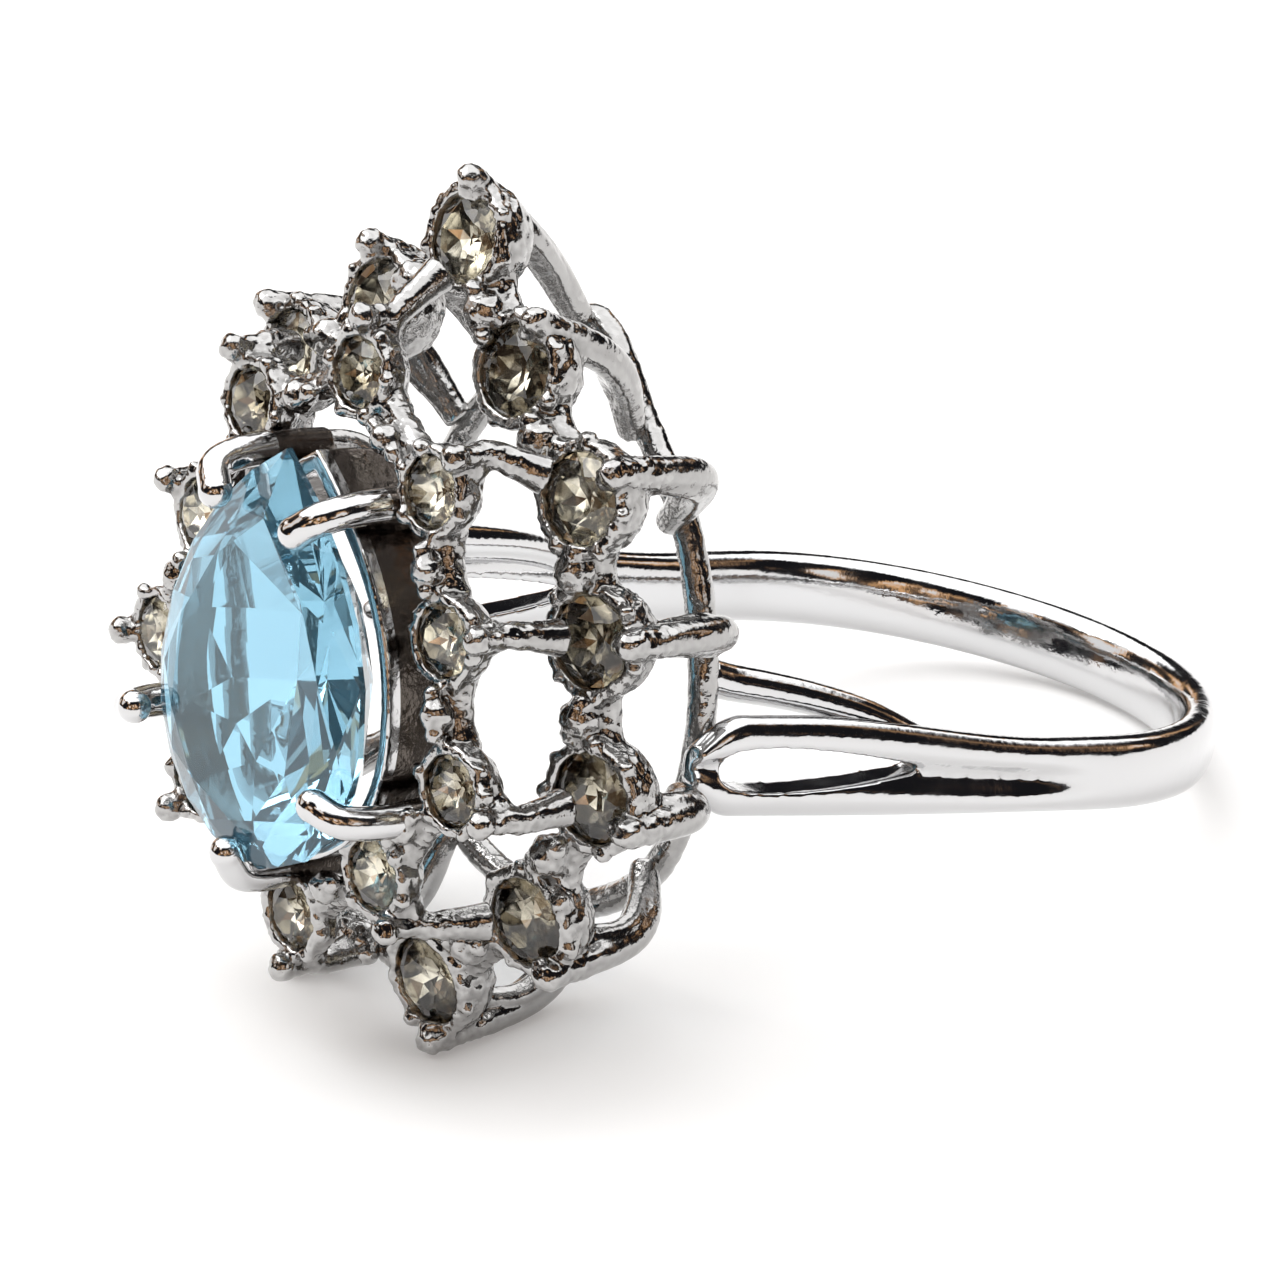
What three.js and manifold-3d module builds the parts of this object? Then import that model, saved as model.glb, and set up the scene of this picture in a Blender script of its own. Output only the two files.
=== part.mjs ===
// A cocktail ring: a pear-cut stone over two tiers of small crystals, on a split-shoulder band.
// Units are millimetres. The head faces -Y, the finger axis is close to +Z, and the ring lies
// as it rests on a table. The origin is the centre of the bottom of the ring's bounding box.
import * as THREE from 'three';
import { mergeVertices } from 'three/addons/utils/BufferGeometryUtils.js';
import Module from 'manifold-3d';

const wasm = await Module();
wasm.setup();

// Driving dimensions. Stations are [sideways, up, forward] from the top inner crystal, and only
// the +X half is listed: every station off the centre line has a mirror twin.
const innerStations = [
  [0, 0, 0], [4.5, -2.3, 0.4], [6.1, -6.4, 0.6], [7.4, -10.7, 0.7], [4.5, -14.4, 0.9], [0, -17.4, 0.2],
];
const outerStations = [
  [0, 3.9, -3.5], [3.4, 0.8, -3.2], [7.2, -2.0, -3.1], [8.0, -6.3, -3.5],
  [8.8, -11.0, -3.6], [6.9, -15.6, -3.3], [3.1, -18.9, -2.9],
];
const tierCentreUp = -8.5;
const roundSides = 8;
const settingGap = 0.06;
const pavilionPart = 0.62;
const cupFloorGap = 0.08;
const cupRimFront = 0.16;
const linkBeadInward = 0.25;
const beadLift = 0.1;

const innerCrystalRadius = 1.1;
const innerCupWall = 0.3;
const innerCupDepth = 1.3;
const innerTilt = THREE.MathUtils.degToRad(5);
const outerCrystalRadius = 1.4;
const outerCupWall = 0.34;
const outerCupDepth = 1.9;
const outerTilt = THREE.MathUtils.degToRad(12);

const innerLinkRadius = 0.4;
const innerBeadRadius = 0.5;
const innerSpurRadius = 0.4;
const innerSpurOut = 1.75;
const innerArmRadii = [0.42, 0.32];
const innerArmDrop = 1.3;
const outerLinkRadius = 0.5;
const outerBeadRadius = 0.7;
const ribTipRadius = 0.55;
const ribTipOut = 1.85;
const ribRadii = [0.6, 0.42];
const ribFootGap = 0.5;
// Where each rib bends, in station order: the part of the way in to its foot, and how far forward.
const ribElbows = [
  [0.5, -6.3], [0.42, -6.7], [0.28, -7.2], [0.26, -7.6], [0.3, -6.6], [0.3, -7.0], [0.3, -7.0],
];
const shoulderRibOrder = 4;
const shoulderRibFoot = [8.1, -11.7, -7.25];

const stoneTipUp = -2.15;
const stoneBellyUp = -10.3;
const stoneHalfWidth = 5.0;
const stoneGirdleFront = 2.3;
const stoneGirdleThickness = 0.2;
const stoneCrownHeight = 0.6;
const stoneTableInset = 0.85;
const stonePavilionDepth = 3.7;
const seatTopFront = 1.4;
const seatBottomFront = -1.8;
const seatWall = 0.45;
const seatInset = 0.1;
const prongRadius = 0.42;
const prongTipRadius = 0.5;
const culetAboveBelly = 0.6;

const railFront = -9.0;
const railWidth = 1.0;
const railThickness = 0.9;
const railStations = [
  [0, 0.8], [3.0, -1.8], [5.2, -4.0], [6.7, -7.3], [7.1, -11.0], [6.1, -14.8], [3.4, -17.1], [0, -17.9],
];

const fingerHoleRadius = 8.65;
const bandThickness = 1.3;
const hoopCentreFront = -24.3;
const bandCentreUp = -11.15;
const bandHeight = 2.4;
const bandBevel = 0.22;
const shoulderHeight = 3.2;
const shoulderRise = 0.3;
const shoulderStart = -22.0;
const shoulderFull = -12.0;
const shoulderFront = -8.0;
const shoulderOuterSide = 8.7;
const shoulderInnerSide = 7.35;
const openingFront = -8.95;
const openingBack = -16.8;
const openingHeight = 1.6;
const grooveBack = -23.5;
const grooveHeight = 0.6;
const grooveDepth = 0.3;
const grooveOverlap = 0.6;
const hoopDroop = THREE.MathUtils.degToRad(5.55);
const bodyGap = 0.1;

const strutStations = [
  [6.8, -8.7, -9.75], [7.1, -8.95, -11.2], [7.5, -9.3, -12.8], [7.9, -9.75, -14.6],
];
const strutRadii = [0.6, 0.4];

const leanBack = THREE.MathUtils.degToRad(11.6);

const finish = (color, roughness, metalness) => (
  new THREE.MeshStandardMaterial({ color, roughness, metalness }));
const chrome = () => finish(0xc9c8c9, 0.12, 1);
const champagne = () => finish(0xa3936a, 0.08, 0.1);
const aqua = () => finish(0x7fc4de, 0.03, 0);

const at = (side, up, front) => new THREE.Vector3(side, -front, up);

// Geometry to solid and back.
function toSolid(geometry) {
  const bare = geometry.clone();
  bare.deleteAttribute('normal');
  bare.deleteAttribute('uv');
  const merged = mergeVertices(bare, 1e-4);
  const mesh = new wasm.Mesh({
    numProp: 3,
    vertProperties: new Float32Array(merged.attributes.position.array),
    triVerts: new Uint32Array(merged.index.array),
  });
  return new wasm.Manifold(mesh);
}

function fromSolid(solid) {
  const mesh = solid.getMesh();
  const geometry = new THREE.BufferGeometry();
  geometry.setAttribute('position', new THREE.BufferAttribute(mesh.vertProperties, 3));
  geometry.setIndex(new THREE.BufferAttribute(mesh.triVerts, 1));
  const faceted = geometry.toNonIndexed();
  faceted.computeVertexNormals();
  return faceted;
}

const join = (pieces) => pieces
  .map((piece) => (piece.isBufferGeometry ? toSolid(piece) : piece))
  .reduce((whole, piece) => whole.add(piece));

// A full ring of stations, clockwise from the top as seen from the front of the head.
function mirrored(stations) {
  const right = stations.map((s) => [...s]);
  const left = stations.filter((s) => s[0] > 0).map((s) => [-s[0], ...s.slice(1)]);
  return right.concat(left.reverse());
}

function outward(point) {
  return new THREE.Vector3(point.x, 0, point.z - tierCentreUp).normalize();
}

// Where a cup sits and which way it faces: forward, tilted a little away from the tier's centre.
function cupFrame(station, tilt) {
  const centre = at(...station);
  const facing = outward(centre).multiplyScalar(Math.sin(tilt)).add(at(0, 0, Math.cos(tilt)));
  const turn = new THREE.Quaternion().setFromUnitVectors(new THREE.Vector3(0, 1, 0), facing.normalize());
  return { centre, facing, turn };
}

function place(geometry, frame) {
  return geometry.clone().applyQuaternion(frame.turn).translate(...frame.centre.toArray());
}

function crystalGeometry(radius) {
  const profile = [
    [0, -pavilionPart * radius], [radius, -0.1], [radius, 0.04],
    [0.6 * radius, 0.26 * radius], [0, 0.26 * radius],
  ];
  return new THREE.LatheGeometry(profile.map((p) => new THREE.Vector2(...p)), roundSides);
}

function cupGeometry(radius, wall, depth) {
  const bore = radius + settingGap;
  const rim = bore + wall;
  const floor = -pavilionPart * radius - cupFloorGap;
  const profile = [
    [0, -depth], [0.7 * rim, -depth], [rim, -0.5 * depth], [rim, cupRimFront], [bore, cupRimFront],
    [bore, floor], [0, floor],
  ];
  return new THREE.LatheGeometry(profile.map((p) => new THREE.Vector2(...p)), roundSides);
}

function bead(point, radius) {
  return new THREE.SphereGeometry(radius, 5, 4).translate(...point.toArray());
}

// A rod that follows a curve and tapers from one radius to another.
function rod(points, startRadius, endRadius, steps = 4, sides = 5) {
  const circle = new THREE.Path().absarc(0, 0, 1, 0, 2 * Math.PI);
  const section = new THREE.Shape(circle.getPoints(Math.ceil(sides / 2)).slice(1));
  const straight = new THREE.ExtrudeGeometry(section, { depth: 1, steps, bevelEnabled: false });
  const curve = new THREE.CatmullRomCurve3(points);
  const frames = curve.computeFrenetFrames(steps, false);
  const position = straight.attributes.position;
  const moved = new THREE.Vector3();
  for (let i = 0; i < position.count; i += 1) {
    const along = position.getZ(i);
    const step = Math.round(along * steps);
    const radius = THREE.MathUtils.lerp(startRadius, endRadius, along);
    moved.copy(curve.getPointAt(along));
    moved.addScaledVector(frames.normals[step], position.getX(i) * radius);
    moved.addScaledVector(frames.binormals[step], position.getY(i) * radius);
    position.setXYZ(i, moved.x, moved.y, moved.z);
  }
  return straight;
}

// The pear outline of the main stone, moved in by an inset all round.
function pearOutline(inset, segments = 7) {
  const belly = stoneHalfWidth - inset;
  const tip = stoneTipUp - 1.6 * inset;
  const shape = new THREE.Shape();
  shape.moveTo(0, tip);
  shape.bezierCurveTo(-0.55 * belly, tip - 1.8, -belly, stoneBellyUp + 3.6, -belly, stoneBellyUp);
  shape.absarc(0, stoneBellyUp, belly, Math.PI, 2 * Math.PI, false);
  shape.bezierCurveTo(belly, stoneBellyUp + 3.6, 0.55 * belly, tip - 1.8, 0, tip);
  return shape.getPoints(segments).slice(0, -1);
}

// Turns a shape drawn as [sideways, up] into a plate between two forward positions.
function plate(shape, backFront, topFront) {
  const geometry = new THREE.ExtrudeGeometry(shape, { depth: topFront - backFront, bevelEnabled: false });
  return geometry.rotateX(Math.PI / 2).translate(0, -backFront, 0);
}

// A plate with a hole of another outline right through it.
function framePlate(outer, inner, backFront, topFront) {
  const block = toSolid(plate(new THREE.Shape(outer), backFront, topFront));
  return block.subtract(toSolid(plate(new THREE.Shape(inner), backFront - 1, topFront + 1)));
}

// The stone: closed rings of the pear outline joined front to back, with a flat table and a point.
function stoneGeometry() {
  const rings = [
    [stoneTableInset, stoneGirdleFront + stoneGirdleThickness + stoneCrownHeight],
    [0, stoneGirdleFront + stoneGirdleThickness],
    [0, stoneGirdleFront],
  ];
  const outlines = rings.map(([inset, front]) => pearOutline(inset, 6).map((p) => at(p.x, p.y, front)));
  const culet = at(0, stoneBellyUp + culetAboveBelly, stoneGirdleFront - stonePavilionDepth);
  const tableCentre = at(0, stoneBellyUp + culetAboveBelly, rings[0][1]);
  const count = outlines[0].length;
  const corners = [];
  for (let i = 0; i < count; i += 1) {
    const next = (i + 1) % count;
    corners.push(tableCentre, outlines[0][i], outlines[0][next]);
    for (let k = 0; k < 2; k += 1) {
      corners.push(outlines[k][i], outlines[k + 1][i], outlines[k + 1][next]);
      corners.push(outlines[k][i], outlines[k + 1][next], outlines[k][next]);
    }
    corners.push(outlines[2][i], culet, outlines[2][next]);
  }
  const geometry = new THREE.BufferGeometry().setFromPoints(corners);
  geometry.computeVertexNormals();
  return geometry;
}

function prongPaths() {
  const upper = [[2.75, -3.3, -1.2], [2.8, -3.25, 1.4], [2.6, -3.5, 3.0], [2.0, -4.05, 3.5]];
  const lower = [[5.3, -12.2, -1.2], [5.6, -12.2, 1.4], [5.35, -12.1, 3.2], [4.55, -11.8, 3.8]];
  const bottom = [[0, -15.7, -1.4], [0, -15.85, 1.0], [0, -15.75, 2.5], [0, -15.0, 3.2]];
  const left = (path) => path.map(([side, up, front]) => [-side, up, front]);
  return [upper, lower, bottom, left(lower), left(upper)].map((path) => path.map((p) => at(...p)));
}

function prongs(extra) {
  return prongPaths().flatMap((path) => [
    rod(path, prongRadius + extra, prongRadius + extra, 5),
    bead(path[3], prongTipRadius + extra),
  ]);
}

function centreSeat(stoneSolid) {
  const outline = [pearOutline(seatInset), pearOutline(seatInset + seatWall)];
  const wall = framePlate(...outline, seatBottomFront, seatTopFront);
  const pieces = [wall];
  prongPaths().forEach((path) => {
    const foot = path[0];
    const inner = foot.clone().lerp(new THREE.Vector3(0, foot.y, stoneBellyUp + 1), 0.22);
    pieces.push(rod([foot, inner], prongRadius, 0.3, 1));
  });
  return join(pieces.concat(prongs(0))).subtract(stoneSolid);
}

// A tier: cups, the rods and beads that link each cup to the next, and any extra pieces.
function tier(stations, cup, link, extras) {
  const frames = mirrored(stations).map((s) => cupFrame(s, cup.tilt));
  const pieces = [...extras];
  frames.forEach((frame, i) => {
    const next = frames[(i + 1) % frames.length];
    const backset = frame.facing.clone().multiplyScalar(-0.35 * cup.depth);
    const middle = frame.centre.clone().lerp(next.centre, 0.5);
    pieces.push(place(cupGeometry(cup.radius, cup.wall, cup.depth), frame));
    const reach = (cup.radius + settingGap + 0.5 * cup.wall) / frame.centre.distanceTo(next.centre);
    const ends = [reach, 1 - reach].map((part) => (
      frame.centre.clone().lerp(next.centre, part).add(backset)));
    pieces.push(rod(ends, link.radius, link.radius, 1));
    const inwardStep = outward(middle).multiplyScalar(-linkBeadInward);
    pieces.push(bead(middle.add(inwardStep).add(at(0, 0, beadLift)), link.beadRadius));
  });
  const boreRadius = cup.radius + settingGap;
  const bore = new THREE.CylinderGeometry(boreRadius, boreRadius, 2, roundSides);
  bore.translate(0, 1 - pavilionPart * cup.radius - cupFloorGap, 0);
  return join(pieces).subtract(join(frames.map((frame) => place(bore, frame))));
}

// Each outer cup has a rib that starts as a bead on its outer side, runs back and hooks inwards.
function outerSetting() {
  const extras = [];
  mirrored(outerStations).forEach((station, i, all) => {
    const { centre } = cupFrame(station, outerTilt);
    const start = centre.clone().addScaledVector(outward(centre), ribTipOut).add(at(0, 0, beadLift));
    const order = Math.min(i, all.length - i);
    const foot = ribFoot(order, Math.sign(centre.x) || 1);
    const [inward, front] = ribElbows[order];
    const elbow = start.clone().lerp(foot, inward).setY(-front);
    extras.push(bead(start, ribTipRadius));
    extras.push(rod([start, elbow, foot], ...ribRadii));
  });
  const cup = { radius: outerCrystalRadius, wall: outerCupWall, depth: outerCupDepth, tilt: outerTilt };
  const link = { radius: outerLinkRadius, beadRadius: outerBeadRadius };
  return tier(outerStations, cup, link, extras);
}

// The end of each outer rib, just in front of the rail, or of the shoulder for the widest pair.
function ribFoot(order, mirror) {
  if (order === shoulderRibOrder) {
    return at(mirror * shoulderRibFoot[0], ...shoulderRibFoot.slice(1));
  }
  const [side, up] = railStations[order];
  return at(mirror * side, up, railFront + 0.5 * railThickness + ribFootGap);
}

// Where an inner cup's arm ends: at the nearest outer cup, or on the centre line at the foot of the
// head just in front of the bead that links the lowest two.
function armEnd(centre) {
  const onCentreLine = Math.abs(centre.x) < 0.01;
  const [, lowestUp, lowestFront] = outerStations[outerStations.length - 1];
  if (onCentreLine && centre.z < tierCentreUp) {
    return at(0, lowestUp, lowestFront + outerBeadRadius + 2.5 * beadLift);
  }
  const choices = onCentreLine ? [outerStations[0]] : mirrored(outerStations);
  const nearest = choices.map((s) => at(...s)).reduce((best, point) => (
    point.distanceTo(centre) < best.distanceTo(centre) ? point : best));
  return nearest.add(at(0, 0, -0.3));
}

// Each inner cup has a spur with a bead, and an arm from under it to the outer tier.
function innerSetting(keepOut) {
  const extras = [];
  mirrored(innerStations).map((s) => cupFrame(s, innerTilt)).forEach(({ centre }) => {
    const out = outward(centre);
    const spurRoot = centre.clone().addScaledVector(out, 1.3).add(at(0, 0, -0.3));
    const tip = centre.clone().addScaledVector(out, innerSpurOut).add(at(0, 0, 2 * beadLift));
    const armRoot = centre.clone().addScaledVector(out, 1.2).add(at(0, 0, -0.7));
    const knee = tip.clone().add(at(0, 0, -innerArmDrop));
    extras.push(bead(tip, innerSpurRadius));
    extras.push(rod([spurRoot, tip], innerSpurRadius, innerSpurRadius, 1));
    extras.push(rod([armRoot, knee, armEnd(centre)], ...innerArmRadii, 3));
  });
  const cup = { radius: innerCrystalRadius, wall: innerCupWall, depth: innerCupDepth, tilt: innerTilt };
  const link = { radius: innerLinkRadius, beadRadius: innerBeadRadius };
  return tier(innerStations, cup, link, extras).subtract(keepOut);
}

// The band seen along the finger axis: a half hoop behind, with arms that run forward to the head.
function bandShape(outset, inset) {
  const outer = fingerHoleRadius + bandThickness + outset;
  const inner = fingerHoleRadius - inset;
  const tipOuter = shoulderOuterSide + outset;
  const tipInner = shoulderInnerSide - inset;
  const back = -hoopCentreFront;
  const front = -shoulderFront;
  const shape = new THREE.Shape();
  shape.moveTo(outer, back);
  shape.absarc(0, back, outer, 0, Math.PI, false);
  shape.bezierCurveTo(-outer, back - 6, -tipOuter - 0.3, front + 5, -tipOuter, front);
  shape.lineTo(-tipInner, front);
  shape.bezierCurveTo(-tipInner - 0.2, front + 5, -inner, back - 6, -inner, back);
  shape.absarc(0, back, inner, Math.PI, 0, true);
  shape.bezierCurveTo(inner, back - 6, tipInner + 0.2, front + 5, tipInner, front);
  shape.lineTo(tipOuter, front);
  shape.bezierCurveTo(tipOuter + 0.3, front + 5, outer, back - 6, outer, back);
  return shape;
}

// The hoop hangs a little lower at the back than at the shoulders.
function droop(geometry) {
  geometry.translate(0, shoulderFront, -bandCentreUp);
  return geometry.rotateX(-hoopDroop).translate(0, -shoulderFront, bandCentreUp);
}

function bandPlate(outset, inset, height, bevel, segments) {
  const geometry = new THREE.ExtrudeGeometry(bandShape(outset - bevel, inset - bevel), {
    depth: height - 2 * bevel,
    bevelEnabled: bevel > 0,
    bevelThickness: bevel,
    bevelSize: bevel,
    bevelSegments: 1,
    curveSegments: segments,
  });
  return geometry.translate(0, 0, bandCentreUp - 0.5 * height + bevel);
}

// The band before its droop, taller towards the shoulders.
function bandSolid() {
  const geometry = bandPlate(0, 0, bandHeight, bandBevel, 14);
  const position = geometry.attributes.position;
  for (let i = 0; i < position.count; i += 1) {
    const forward = THREE.MathUtils.smoothstep(-position.getY(i), shoulderStart, shoulderFull);
    const grow = 1 + forward * (shoulderHeight / bandHeight - 1);
    const height = (position.getZ(i) - bandCentreUp) * grow + shoulderRise * forward;
    position.setZ(i, bandCentreUp + height);
  }
  return toSolid(geometry);
}

// A long drop drawn through both shoulders, round in front and pointed behind.
function openingCutter() {
  const middle = bandCentreUp + shoulderRise;
  const radius = 0.5 * openingHeight;
  const point = -openingBack;
  const round = -openingFront + radius;
  const drop = new THREE.Shape();
  drop.moveTo(point, middle);
  drop.bezierCurveTo(point - 3, middle, round + 1.8, middle + radius, round, middle + radius);
  drop.absarc(round, middle, radius, 0.5 * Math.PI, 1.5 * Math.PI, false);
  drop.bezierCurveTo(round + 1.8, middle - radius, point - 3, middle, point, middle);
  const reach = shoulderOuterSide + 3;
  const through = new THREE.ExtrudeGeometry(drop, {
    depth: 2 * reach, bevelEnabled: false, curveSegments: 6,
  });
  return toSolid(through.rotateX(Math.PI / 2).rotateZ(Math.PI / 2).translate(-reach, 0, 0));
}

// The groove runs on from the point of each opening, cut into the outer face of the arm.
function grooveCutter() {
  const start = -openingBack - grooveOverlap;
  const length = openingBack - grooveBack + grooveOverlap;
  const ring = bandPlate(1, grooveDepth - bandThickness, grooveHeight, 0, 14);
  const limit = new THREE.BoxGeometry(40, length, 4);
  limit.translate(0, start + 0.5 * length, bandCentreUp);
  return toSolid(ring).intersect(toSolid(limit));
}

function baseRail() {
  const outline = (offset) => {
    const half = mirrored(railStations).map(([side, up]) => {
      const out = new THREE.Vector2(side, up - tierCentreUp).normalize().multiplyScalar(offset);
      return new THREE.Vector3(side + out.x, up + out.y, 0);
    });
    const loop = new THREE.CatmullRomCurve3(half, true, 'centripetal').getPoints(36).slice(0, -1);
    return loop.map((p) => new THREE.Vector2(p.x, p.y));
  };
  const halfWidth = 0.5 * railWidth;
  const halfThickness = 0.5 * railThickness;
  const faces = [railFront - halfThickness, railFront + halfThickness];
  return framePlate(outline(halfWidth), outline(-halfWidth), ...faces);
}

function strut(mirror) {
  return rod(strutStations.map(([side, up, front]) => at(mirror * side, up, front)), ...strutRadii, 6, 6);
}

const ring = new THREE.Group();
const resting = new THREE.Group();
ring.add(resting);

function addPiece(name, geometry, material, frame) {
  const mesh = new THREE.Mesh(geometry, material);
  mesh.name = name;
  if (frame) {
    mesh.position.copy(frame.centre);
    mesh.quaternion.copy(frame.turn);
  }
  resting.add(mesh);
}

const shank = bandSolid().subtract(openingCutter()).subtract(grooveCutter());
const keepOutHeight = shoulderHeight + 2 * shoulderRise + 0.1;
const armKeepOut = toSolid(droop(bandPlate(bodyGap, bodyGap, keepOutHeight, 0, 14)));
const struts = [1, -1].map((mirror) => toSolid(strut(mirror)).subtract(armKeepOut));
const rail = baseRail().subtract(armKeepOut);

const stone = stoneGeometry();
const seat = centreSeat(toSolid(stone));
const pearBlock = plate(new THREE.Shape(pearOutline(0.02)), seatBottomFront - 0.6, stoneGirdleFront + 1.2);
const seatKeepOut = toSolid(pearBlock).add(join(prongs(0.08)));
const outerCupSpace = new THREE.CylinderGeometry(1.9, 1.9, 2.4, roundSides).translate(0, -0.6, 0);
const outerKeepOut = join(mirrored(outerStations).map((s) => place(outerCupSpace, cupFrame(s, outerTilt))));

addPiece('shank', droop(fromSolid(shank)), chrome());
addPiece('shoulder_strut_right', fromSolid(struts[0]), chrome());
addPiece('shoulder_strut_left', fromSolid(struts[1]), chrome());
addPiece('base_rail', fromSolid(rail), chrome());
addPiece('outer_tier_setting', fromSolid(outerSetting()), chrome());
addPiece('inner_tier_setting', fromSolid(innerSetting(seatKeepOut.add(outerKeepOut))), chrome());
addPiece('centre_seat', fromSolid(seat), chrome());
addPiece('centre_stone', stone, aqua());

function addCrystals(prefix, stations, radius, tilt) {
  mirrored(stations).forEach((station, i) => {
    const name = `${prefix}_${String(i + 1).padStart(2, '0')}`;
    addPiece(name, crystalGeometry(radius), champagne(), cupFrame(station, tilt));
  });
}
addCrystals('inner_crystal', innerStations, innerCrystalRadius, innerTilt);
addCrystals('outer_crystal', outerStations, outerCrystalRadius, outerTilt);

// Lean the ring back until the foot of the head and the back of the hoop both touch the table,
// then bring the middle of the bottom of its bounding box to the origin.
resting.rotation.x = -leanBack;
ring.updateMatrixWorld(true);
const box = new THREE.Box3().setFromObject(ring, true);
const middle = box.getCenter(new THREE.Vector3());
resting.position.set(-middle.x, -middle.y, -box.min.z);

export default ring;
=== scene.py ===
"""A cocktail ring: a pear-cut aqua stone over two open tiers of small foiled crystals."""
import math
import random
from types import SimpleNamespace

import bmesh
import bpy
import numpy as np
from mathutils import Matrix, Quaternion, Vector, noise


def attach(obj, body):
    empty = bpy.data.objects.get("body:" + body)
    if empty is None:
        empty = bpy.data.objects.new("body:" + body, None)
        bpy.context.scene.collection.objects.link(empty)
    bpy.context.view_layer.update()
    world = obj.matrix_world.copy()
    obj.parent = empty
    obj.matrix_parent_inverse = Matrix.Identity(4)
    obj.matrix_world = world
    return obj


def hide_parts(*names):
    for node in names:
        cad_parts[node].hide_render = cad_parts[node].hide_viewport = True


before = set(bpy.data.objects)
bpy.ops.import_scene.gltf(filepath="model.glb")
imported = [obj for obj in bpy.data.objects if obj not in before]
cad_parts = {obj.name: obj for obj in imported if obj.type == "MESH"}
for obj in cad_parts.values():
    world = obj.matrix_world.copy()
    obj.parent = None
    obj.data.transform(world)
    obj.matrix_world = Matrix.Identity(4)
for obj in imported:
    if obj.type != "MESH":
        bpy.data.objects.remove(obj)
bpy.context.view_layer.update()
random.seed(7)

MM = 0.001
LEAN_BACK = math.radians(11.6)
HOOP_DROOP = math.radians(5.55)

# Stations on the head are (sideways, up, forward) in mm from the top inner crystal, for the +X
# half; a station off the centre line has a mirror twin. The rail lies at one forward value.
INNER_STATIONS = [(0, 0, 0), (4.5, -2.3, 0.4), (6.1, -6.4, 0.6), (7.4, -10.7, 0.7),
                  (4.5, -14.4, 0.9), (0, -17.4, 0.2)]
OUTER_STATIONS = [(0, 3.9, -3.5), (3.4, 0.8, -3.2), (7.2, -2.0, -3.1), (8.0, -6.3, -3.5),
                  (8.8, -11.0, -3.6), (6.9, -15.6, -3.3), (3.1, -18.9, -2.9)]
RAIL_STATIONS = [(0, 0.8), (3.0, -1.8), (5.2, -4.0), (6.7, -7.3), (7.1, -11.0), (6.1, -14.8),
                 (3.4, -17.1), (0, -17.9)]
STRUT_STATIONS = [(6.75, -8.5, -9.2), (6.9, -8.8, -10.2), (7.2, -9.1, -11.6), (7.6, -9.5, -13.2),
                  (8.1, -10.1, -15.0), (8.6, -11.0, -16.8)]

# The two tiers of cups, in mm. A knot is the bead in the middle of the link from one cup to the
# next, and it has a smaller grain at each side.
TIER_CENTRE_UP = -8.5
INNER_TILT = math.radians(5)
OUTER_TILT = math.radians(12)
INNER_RADIUS = 1.1
OUTER_RADIUS = 1.4
CUP_CLEARANCE = 0.03
KNOT_INWARD = 0.25
KNOT_FRONT = 0.3
OUTER_TIER = SimpleNamespace(
    tilt=OUTER_TILT, radius=OUTER_RADIUS, wall=0.34, depth=1.9,
    beads=7, bead_size=0.3, bead_ring=0.32,
    link_gap=0.2, link_back=0.5, link_end=0.68, link_middle=0.54,
    knot=0.66, grain=0.36, grain_along=0.55, grain_front=0.15, grain_inward=0.25)
INNER_TIER = SimpleNamespace(
    tilt=INNER_TILT, radius=INNER_RADIUS, wall=0.3, depth=1.3,
    beads=6, bead_size=0.28, bead_ring=0.28,
    link_gap=0.15, link_back=0.45, link_end=0.6, link_middle=0.44,
    knot=0.54, grain=0.3, grain_along=0.6, grain_front=0.1, grain_inward=0.0)

# The spur on an inner cup, and the arm that bends back from it to the outer tier.
SPUR_OUT = 1.75
SPUR_FRONT = 0.2
SPUR_RADIUS = 0.46
SPUR_NECK_RADIUS = 0.36
SPUR_NECK_BACK = 0.3
ARM_ROOT_OUT = 1.2
ARM_ROOT_BACK = 0.7
ARM_KNEE_BACK = 1.3
ARM_KNEE_RADIUS = 0.34
ARM_END_RADIUS = 0.62
ARM_MIDDLE_RADIUS = 0.44
# An arm ends short of its outer cup and behind it. The lowest arm ends in front of its bead.
ARM_STOPS_SHORT = 1.5
ARM_BEHIND_CUP = 0.3
ARM_BEFORE_BEAD = 0.3

# The curved rail behind the head, and the bars from it to the band.
RAIL_FRONT = -9.0
RAIL_RADIUS = 0.48
STRUT_RADIUS = 0.62
STRUT_TAPER = 0.14

# The rib behind each outer cup. Its ridges are (part of the way down to the heel, sideways lean).
RIB_TIP_OUT = 1.85
RIB_TIP_FRONT = 0.1
RIB_NECK_OUT = 1.3
RIB_NECK_RADIUS = 0.42
RIB_RADIUS = 0.47
RIB_SWELL = 0.4
RIB_HEEL_BACK = 1.6
RIB_HEEL_OUT = 0.7
RIB_RIDGES = [(0.35, 0.35), (0.7, -0.3)]
RIDGE_RADIUS = 0.44
RIDGE_TAPER = 0.12
RIDGE_ELBOW = 0.30
RIB_FOOT_FRONT = RAIL_FRONT + 0.6
SHOULDER_RIB_ORDER = 4
SHOULDER_RIB_FOOT = (8.1, -11.7, -7.6)
# Where each rib bends: the part of the way in to its foot, and how far forward.
RIB_ELBOWS = [(0.5, -6.3), (0.42, -6.7), (0.28, -7.2), (0.26, -7.6), (0.3, -6.6), (0.3, -7.0),
              (0.3, -7.0)]

# The seat's wall as (inset from the stone's outline, forward): back along its outer face, then
# forward along its inner one. Behind the shade front, seat and prongs get painted shade.
SEAT_WALL = [(0.1, 1.4), (0.12, 0.2), (0.3, -1.8), (0.7, -1.8), (0.6, 0.2), (0.5, 1.4)]
SEAT_SHADE_FRONT = 0.9
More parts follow.
